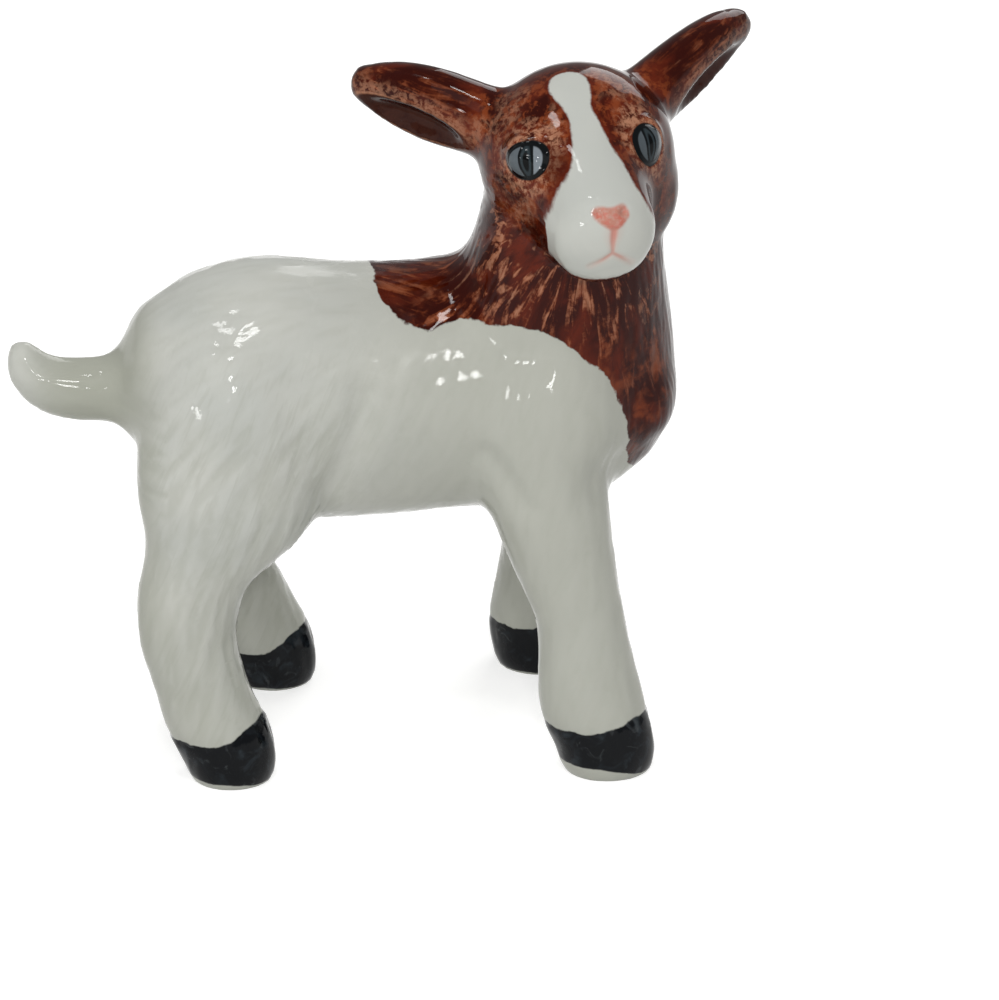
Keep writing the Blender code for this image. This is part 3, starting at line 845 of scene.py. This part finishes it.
class Mixer:
    # short ways to add and join the nodes of one material
    def __init__(self, name):
        self.material = bpy.data.materials.new(name)
        self.material.use_nodes = True
        self.tree = self.material.node_tree
        self.shader = self.tree.nodes["Principled BSDF"]

    def node(self, kind, inputs=(), **settings):
        made = self.tree.nodes.new("ShaderNode" + kind)
        for key, value in settings.items():
            setattr(made, key, value)
        for key, value in dict(inputs).items():
            self.give(made.inputs[key], value)
        return made

    def give(self, socket, value):
        if isinstance(value, bpy.types.NodeSocket):
            self.tree.links.new(value, socket)
        else:
            socket.default_value = value

    def value(self, name):
        return self.node("Attribute", attribute_name=name).outputs["Fac"]

    def place(self, name):
        return self.node("Attribute", attribute_name=name).outputs["Vector"]

    def maths(self, operation, a, b=0.0):
        return self.node("Math", {0: a, 1: b}, operation=operation).outputs[0]

    def times(self, a, b):
        return self.maths("MULTIPLY", a, b)

    def plus(self, a, b):
        return self.maths("ADD", a, b)

    def minus(self, a, b):
        return self.maths("SUBTRACT", a, b)

    def reach(self, a, b):
        return self.maths("SQRT", self.plus(self.maths("POWER", a, 2.0), self.maths("POWER", b, 2.0)))

    def swing(self, noise, amount):
        # a noise as a shift to both sides of nothing
        return self.times(self.minus(noise, 0.5), amount)

    def step(self, value, low, high):
        made = self.node("MapRange", {"Value": value, "From Min": low, "From Max": high},
                         interpolation_type="SMOOTHSTEP")
        return made.outputs["Result"]

    def over(self, below, colour, amount):
        made = self.node("Mix", data_type="RGBA")
        self.give(made.inputs[0], amount)
        self.give(made.inputs[6], below)
        self.give(made.inputs[7], colour)
        return made.outputs[2]

    def tint(self, below, name, amount):
        return self.over(below, paint(name), amount)

    def noise(self, vector, scale, detail=3.0, distortion=0.0, rough=0.5):
        made = self.node("TexNoise", {"Vector": vector, "Scale": scale, "Detail": detail,
                                      "Distortion": distortion, "Roughness": rough})
        return made.outputs["Fac"]

    def stretched(self, vector, scale, shift=(0, 0, 0)):
        return self.node("Mapping", {"Vector": vector, "Scale": scale, "Location": shift}).outputs["Vector"]

    def split(self, vector):
        made = self.node("SeparateXYZ", {"Vector": vector})
        return made.outputs[0], made.outputs[1], made.outputs[2]


m = Mixer("glazedPorcelain")
objectPlace = m.node("TexCoord").outputs["Object"]
inMm = m.stretched(objectPlace, (1000, 1000, 1000))
grooveValue = m.value("groove")

# White glaze: cooler in patches, greener where it pools in the combed hair, darkened lower down and towards
# the front by painted shade, and darker along the tail
colour = m.over(paint("glaze"), paint("glazeCool"), m.step(m.noise(inMm, 0.16, 2.0), 0.35, 0.7))
bodyX, _, bodyZ = m.split(inMm)
onTail = m.times(m.step(bodyX, -13.0, -16.0), m.step(bodyX, -22.5, -18.5))
# painted shade: the white is darker lower down and towards the front; the middle of the tail is darker and
# greener as well
shadeAndDarkTail = m.maths("MAXIMUM", m.times(m.step(bodyZ, 18.0, 3.0), 0.7), onTail)
shadeAndDarkTail = m.maths("MAXIMUM", shadeAndDarkTail, m.times(m.step(bodyX, -8.0, 6.0), 0.85))
colour = m.tint(colour, "glazeShadeAndDarkTail", m.times(shadeAndDarkTail, m.step(bodyZ, 33.0, 29.0)))
colour = m.tint(colour, "glazePool", m.times(onTail, 0.55))
hairPlace = m.node("Mapping", {"Vector": inMm, "Rotation": (0, math.radians(-24), 0)}).outputs["Vector"]
hair = m.noise(m.stretched(hairPlace, (3.4, 1.3, 0.3)), 1.0, 2.0, 0.5)
hairAlong = m.times(m.step(bodyX, -17.0, -13.0), m.plus(0.25, m.times(m.step(bodyX, 2.0, -5.0), 0.75)))
hairShare = m.times(m.step(bodyZ, 30.0, 24.0), hairAlong)
colour = m.tint(colour, "glazePool", m.times(m.times(m.step(hair, 0.5, 0.7), hairShare), 0.2))
colour = m.tint(colour, "glazePool", m.times(m.step(grooveValue, 0.05, 0.95), 0.3))

# Brown coat: long strokes of maroon and brown that fan out, with tan ridges on the throat
sponge = m.noise(inMm, 1.25, 5.0, 0.35, 0.62)
dapple = m.noise(inMm, 0.42, 3.0, 0.5)
grain = m.noise(inMm, 4.5, 3.0, 0.2, 0.6)
speck = m.noise(inMm, 2.8, 5.0, 0.4, 0.66)


def strokePaint(vector):
    wide = m.noise(m.stretched(vector, (0.5, 0.5, 1.0)), 1.0, 3.0, 0.6)
    narrow = m.noise(m.stretched(vector, (1.6, 1.6, 1.0), (7, 3, 1)), 1.0, 2.0, 0.9)
    fine = m.noise(m.stretched(vector, (5.5, 5.5, 3.0), (2, 9, 4)), 1.0, 2.0, 0.6)
    mixed = m.over(paint("maroon"), paint("brown"), m.step(wide, 0.44, 0.7))
    rough = m.minus(m.plus(m.times(fine, 0.22), m.times(speck, 0.3)), 0.26)
    ridge = m.plus(narrow, rough)
    mixed = m.tint(mixed, "russet", m.times(m.step(ridge, 0.46, 0.68), m.step(dapple, 0.34, 0.64)))
    lift = m.plus(ridge, m.times(m.value("throat"), 0.03))
    lift = m.plus(lift, m.swing(dapple, 0.3))
    share = m.plus(0.25, m.times(m.value("throat"), 0.45))
    mixed = m.tint(mixed, "tan", m.times(m.step(lift, 0.56, 0.76), share))
    return m.tint(mixed, "maroon", m.times(m.step(fine, 0.54, 0.7), 0.35))


coat = strokePaint(m.place("brushPlace"))
orange = m.times(m.value("chest"), m.step(m.noise(inMm, 0.8, 4.0, 0.4), 0.48, 0.7))
coat = m.tint(coat, "maroon", m.times(m.value("chest"), 0.35))
coat = m.tint(coat, "russet", m.times(orange, 0.6))
coat = m.tint(coat, "maroon", m.times(m.step(grooveValue, 0.1, 0.7), 0.5))

# Head: sponged tan and russet over maroon, lighter round the eyes
headMottle = m.over(paint("maroon"), paint("brown"), m.step(dapple, 0.36, 0.56))
headMottle = m.tint(headMottle, "russet", m.times(m.step(sponge, 0.47, 0.6), 0.75))
eyeX, eyeY, eyeSide = m.split(m.place("eyePlace"))
ring = m.minus(1.0, m.step(m.reach(eyeX, eyeY), 1.7, 2.8))
patches = m.times(m.step(m.noise(m.stretched(inMm, (1, 1, 1), (3, 8, 2)), 0.3, 2.0), 0.48, 0.6), 0.5)
tanWash = m.times(m.step(m.noise(inMm, 2.3, 6.0, 0.35, 0.7), 0.42, 0.6), m.maths("MAXIMUM", ring, patches))
headMottle = m.tint(headMottle, "tan", m.times(tanWash, 0.9))
_, faceY, faceZ = m.split(m.place("facePlace"))
besideBlaze = m.reach(m.plus(faceY, 2.1), m.minus(faceZ, 1.9))
headMottle = m.tint(headMottle, "maroon", m.times(m.step(besideBlaze, 1.4, 0.5), 0.6))
headMottle = m.tint(headMottle, "maroon", m.times(m.step(grain, 0.56, 0.7), 0.35))
headMottle = m.tint(headMottle, "maroon", m.times(m.step(grooveValue, 0.1, 0.6), 0.85))
coat = m.over(coat, headMottle, m.step(m.plus(m.value("headShare"), m.swing(speck, 1.2)), 0.3, 0.7))

# Ears: strokes along the leaf, sponged lighter towards the rim, over hollows darkened with painted shade
hollow = m.value("earHollow")
earPaint = m.over(strokePaint(m.place("earPlace")), paint("maroon"), 0.25)
nearRim = m.times(m.step(hollow, 1.6, 0.5), m.step(speck, 0.42, 0.58))
earPaint = m.tint(earPaint, "tan", m.times(nearRim, 0.5))
rimSponge = m.plus(0.25, m.times(m.step(sponge, 0.4, 0.6), 0.5))
earPaint = m.tint(earPaint, "tan", m.times(m.step(hollow, 0.4, 0.28), rimSponge))
# painted shade: the hollows darkened nearly to black
hollowShade = m.over(paint("deepShade"), paint("maroon"), m.times(m.step(sponge, 0.5, 0.65), 0.5))
earPaint = m.over(earPaint, hollowShade, m.times(m.step(hollow, 0.26, 0.14), 0.95))
coat = m.over(coat, earPaint, m.value("onEar"))

# Painted shade: the coat is darkened where it is seen edge on
edgeOn = m.node("LayerWeight", {"Blend": 0.5}).outputs["Facing"]
coat = m.tint(coat, "deepShade", m.times(m.step(edgeOn, 0.3, 0.85), 0.88))

# Hand-painted edges wander a little
wander = m.swing(m.noise(inMm, 1.1, 3.0), 0.7)
isCoat = m.step(m.plus(m.value("capeEdge"), wander), -0.05, 0.07)
faceWander = m.swing(m.noise(inMm, 1.1, 1.0), 0.14)
blaze = m.plus(m.value("blazeEdge"), faceWander)
coat = m.tint(coat, "brown", m.times(m.step(blaze, -0.3, -0.05), 0.6))
fuzzy = m.plus(blaze, m.swing(speck, 0.22))
colour = m.over(colour, coat, m.times(isCoat, m.step(fuzzy, 0.09, -0.09)))

# Nose and mouth: sprayed pink, with lines that fade out
stem = m.step(faceZ, -2.45, -1.2)
mouth = m.maths("DIVIDE", m.plus(m.value("mouthLine"), m.times(faceWander, 0.3)), m.plus(1.0, stem))
fade = m.step(m.maths("ABSOLUTE", faceY), 1.35, 0.3)
speckle = m.plus(0.78, m.times(m.step(grain, 0.35, 0.6), 0.22))
colour = m.tint(colour, "blush", m.times(m.step(mouth, 0.42, 0.08), 0.35))
mouthInk = m.times(m.times(m.step(mouth, 0.19, 0.03), fade), m.plus(0.5, m.times(stem, 0.25)))
colour = m.tint(colour, "noseLine", mouthInk)
nose = m.plus(m.value("noseEdge"), m.times(faceWander, 0.5))
noseTint = m.over(paint("nosePink"), paint("noseLine"), m.step(m.noise(inMm, 1.8, 3.0), 0.42, 0.6))
colour = m.over(colour, noseTint, m.times(m.step(nose, -0.14, 0.12), speckle))

# Eyes: thick black lids, slate white with painted shade, a dark tall iris with an upright pupil
def oval(name):
    halfWidth, halfHeight, shift = eyeOvals[name]
    return m.reach(m.maths("DIVIDE", m.plus(eyeX, shift), halfWidth), m.maths("DIVIDE", eyeY, halfHeight))


eyeEdge = m.plus(m.times(m.minus(1.0, oval("lid")), 1.3), m.times(faceWander, 0.6))
eyeOpen = m.plus(m.minus(1.0, oval("open")), m.times(faceWander, 0.5))
colour = m.tint(colour, "lid", m.step(eyeEdge, -0.04, 0.05))
# painted shade: the near eye's white darker towards its outer corner, the far eye's white darker all over
innerShare = m.step(m.times(eyeX, m.step(eyeSide, 0.5, -0.5)), -0.3, 0.4)
white = m.over(paint("eyeShade"), paint("eyeWhite"), innerShare)
white = m.tint(white, "iris", m.times(m.step(eyeSide, 0.0, 0.5), 0.6))
irisOval = oval("iris")
eye = m.tint(white, "lid", m.step(irisOval, 1.16, 1.02))
eye = m.tint(eye, "iris", m.step(irisOval, 0.85, 0.62))
eye = m.tint(eye, "pupil", m.step(oval("pupil"), 1.15, 0.75))
colour = m.over(colour, eye, m.step(eyeOpen, -0.04, 0.05))

# Hooves: black with a painted sheen and lighter grey patches, bare at the sole
hoofWander = m.swing(m.noise(inMm, 0.9, 3.0), 0.5)
# painted sheen: lighter blue-grey patches standing for reflections on the black
hoofColour = m.over(paint("hoof"), paint("hoofSheen"), m.step(m.noise(inMm, 0.7, 4.0, 1.0), 0.5, 0.72))
hoofColour = m.tint(hoofColour, "hoofGrey", m.times(m.step(m.noise(inMm, 0.9, 4.0, 1.0), 0.58, 0.74), 0.6))
isHoof = m.step(m.plus(m.value("hoofEdge"), hoofWander), -0.05, 0.08)
isRim = m.step(m.plus(m.value("rimEdge"), m.times(hoofWander, 0.5)), 0.06, -0.06)
colour = m.over(colour, hoofColour, m.times(isHoof, isRim))

m.give(m.shader.inputs["Base Color"], colour)
shine = m.node("MapRange", {
    "Value": m.noise(inMm, 1.3, 3.0), "From Min": 0.3, "From Max": 0.7,
    "To Min": gloss["roughness"][0], "To Max": gloss["roughness"][1]}).outputs["Result"]
thin = m.times(m.value("thinGlaze"), m.step(m.noise(inMm, 0.8, 2.0), 0.62, 0.45))
m.give(m.shader.inputs["Roughness"], m.plus(shine, m.times(thin, gloss["thinRoughness"])))
m.shader.inputs["IOR"].default_value = gloss["ior"]
m.shader.inputs["Specular IOR Level"].default_value = gloss["specularLevel"]
strength, depth = gloss["ripple"]
ripple = m.node("Bump", {"Height": m.noise(inMm, 0.45, 1.0, 0.3), "Strength": strength, "Distance": depth})
strength, depth = gloss["hair"]
ripple = m.node("Bump", {"Height": m.times(hair, hairShare), "Strength": strength, "Distance": depth,
                         "Normal": ripple.outputs["Normal"]})
m.give(m.shader.inputs["Normal"], ripple.outputs["Normal"])
goatMesh.materials.clear()
goatMesh.materials.append(m.material)

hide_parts("goat")
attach(goat, "root")
print("goat: glazed and painted")

# Floor, lamps and camera
studio = {
    "floorSize": 4.0,
    "floorColour": (0.66, 0.66, 0.65, 1),
    "worldColour": (1.0, 1.0, 1.0, 1),
    "worldStrength": 0.42,
    "floorGlow": 0.6,            # lifts the floor to white where it is seen
    "aim": (0.0, 0.0, 0.02),
    # azimuth, elevation, distance, width, height, power in watts
    "lamps": [
        ("front", -1, 30, 0.5, 0.042, 0.052, 0.4),
        ("low", -4, 15, 0.5, 0.034, 0.036, 0.22),
        ("brow", -60, 65, 0.5, 0.05, 0.05, 0.24),
        ("top", -12, 66, 0.5, 0.05, 0.045, 0.3),
        ("left", -36, 5, 0.55, 0.05, 0.05, 0.34),
        ("wide", -22, 38, 0.8, 0.45, 0.4, 0.55),
        ("back", 150, 32, 0.8, 0.5, 0.4, 2.6),
    ],
}
view = {
    "azimuth": -5.0, "elevation": 25.0, "distance": 0.45,
    "lens": 267.3, "sensorWidth": 36, "clipStart": 0.01,
    "target": (7.53 - body["middle"][0], -body["middle"][1], 14.44),
}


def direction(azimuth, elevation):
    a, e = math.radians(azimuth), math.radians(elevation)
    return Vector((math.sin(a) * math.cos(e), -math.cos(a) * math.cos(e), math.sin(e)))


floorMesh = bpy.data.meshes.new("floor")
bm = bmesh.new()
bmesh.ops.create_grid(bm, x_segments=1, y_segments=1, size=studio["floorSize"] / 2)
bm.to_mesh(floorMesh)
bm.free()
floor = bpy.data.objects.new("floor", floorMesh)
bpy.context.scene.collection.objects.link(floor)
pale = Mixer("paleFloor")
pale.shader.inputs["Base Color"].default_value = studio["floorColour"]
pale.shader.inputs["Roughness"].default_value = 0.9
pale.shader.inputs["Specular IOR Level"].default_value = 0.1
pale.shader.inputs["Emission Color"].default_value = (1, 1, 1, 1)
rays = pale.node("LightPath").outputs
isSeen = pale.maths("MAXIMUM", rays["Is Camera Ray"], rays["Is Glossy Ray"])
isSeen = pale.maths("MAXIMUM", isSeen, rays["Is Transmission Ray"])
pale.give(pale.shader.inputs["Emission Strength"], pale.times(isSeen, studio["floorGlow"]))
floorMesh.materials.append(pale.material)

world = bpy.data.worlds.new("studio")
bpy.context.scene.world = world
world.use_nodes = True
background = world.node_tree.nodes["Background"]
background.inputs["Color"].default_value = studio["worldColour"]
background.inputs["Strength"].default_value = studio["worldStrength"]

for name, azimuth, elevation, distance, width, height, power in studio["lamps"]:
    light = bpy.data.lights.new(name, "AREA")
    light.shape = "RECTANGLE"
    light.size = width
    light.size_y = height
    light.energy = power
    lamp = bpy.data.objects.new(name, light)
    way = direction(azimuth, elevation)
    lamp.location = Vector(studio["aim"]) + way * distance
    lamp.rotation_euler = way.to_track_quat("Z", "Y").to_euler()
    bpy.context.scene.collection.objects.link(lamp)

camera = bpy.data.objects.new("camera", bpy.data.cameras.new("camera"))
bpy.context.scene.collection.objects.link(camera)
way = direction(view["azimuth"], view["elevation"])
camera.location = Vector(view["target"]) * millimetre + way * view["distance"]
camera.rotation_euler = way.to_track_quat("Z", "Y").to_euler()
camera.data.lens = view["lens"]
camera.data.sensor_width = view["sensorWidth"]
camera.data.clip_start = view["clipStart"]
bpy.context.scene.camera = camera
bpy.context.scene.view_settings.view_transform = "Standard"
print("studio: floor, lamps and camera")

bpy.context.view_layer.update()
